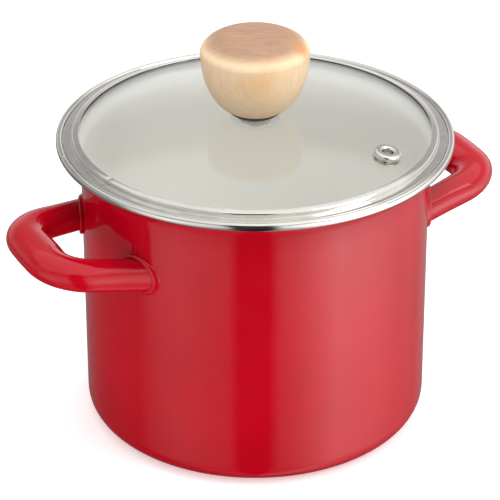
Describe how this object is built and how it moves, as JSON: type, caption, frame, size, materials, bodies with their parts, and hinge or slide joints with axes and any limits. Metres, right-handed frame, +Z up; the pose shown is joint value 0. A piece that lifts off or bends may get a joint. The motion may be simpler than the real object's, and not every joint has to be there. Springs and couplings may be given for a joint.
{
  "type": "stock pot",
  "caption": "Deep enamelled steel stock pot with two loop side handles and a lift-off vented glass lid with a turned wooden knob.",
  "frame": {"origin": "middle of the underside of the pot, on the surface that it stands on", "axes": "+Z up along the pot's axis; X runs through the two side handles; the steam vent is on the +X, -Y side of the lid"},
  "size_m": [0.2406, 0.1842, 0.1908],
  "materials": {
    "red_enamel": "glossy vitreous red enamel on steel",
    "ivory_enamel": "glossy ivory enamel lining",
    "polished_stainless": "mirror-polished stainless steel",
    "tempered_glass": "clear tempered glass",
    "beech_wood": "pale hardwood, satin clear finish",
    "brass": "turned brass",
    "dark_gasket": "matt dark rubber",
    "clear_silicone": "translucent silicone"
  },
  "bodies": {
    "pot": {"pot_body": "red_enamel", "enamel_lining": "ivory_enamel", "rim_band": "polished_stainless", "handle_right": "red_enamel", "handle_right_foot_front": "red_enamel", "handle_right_foot_back": "red_enamel", "handle_left": "red_enamel", "handle_left_foot_front": "red_enamel", "handle_left_foot_back": "red_enamel"},
    "lid": {"lid_glass": "tempered_glass", "lid_band": "polished_stainless", "vent_eyelet": "polished_stainless", "vent_washer": "polished_stainless", "knob": "beech_wood", "knob_insert": "brass", "knob_gasket": "dark_gasket", "screw_bush": "clear_silicone", "under_gasket": "clear_silicone", "backing_washer": "polished_stainless", "knob_screw": "polished_stainless"}
  },
  "joints": [
    {"name": "lid_lift", "type": "slide", "parent": "pot", "child": "lid", "axis": [0, 0, 1], "range_m": [0, 0.12]}
  ]
}
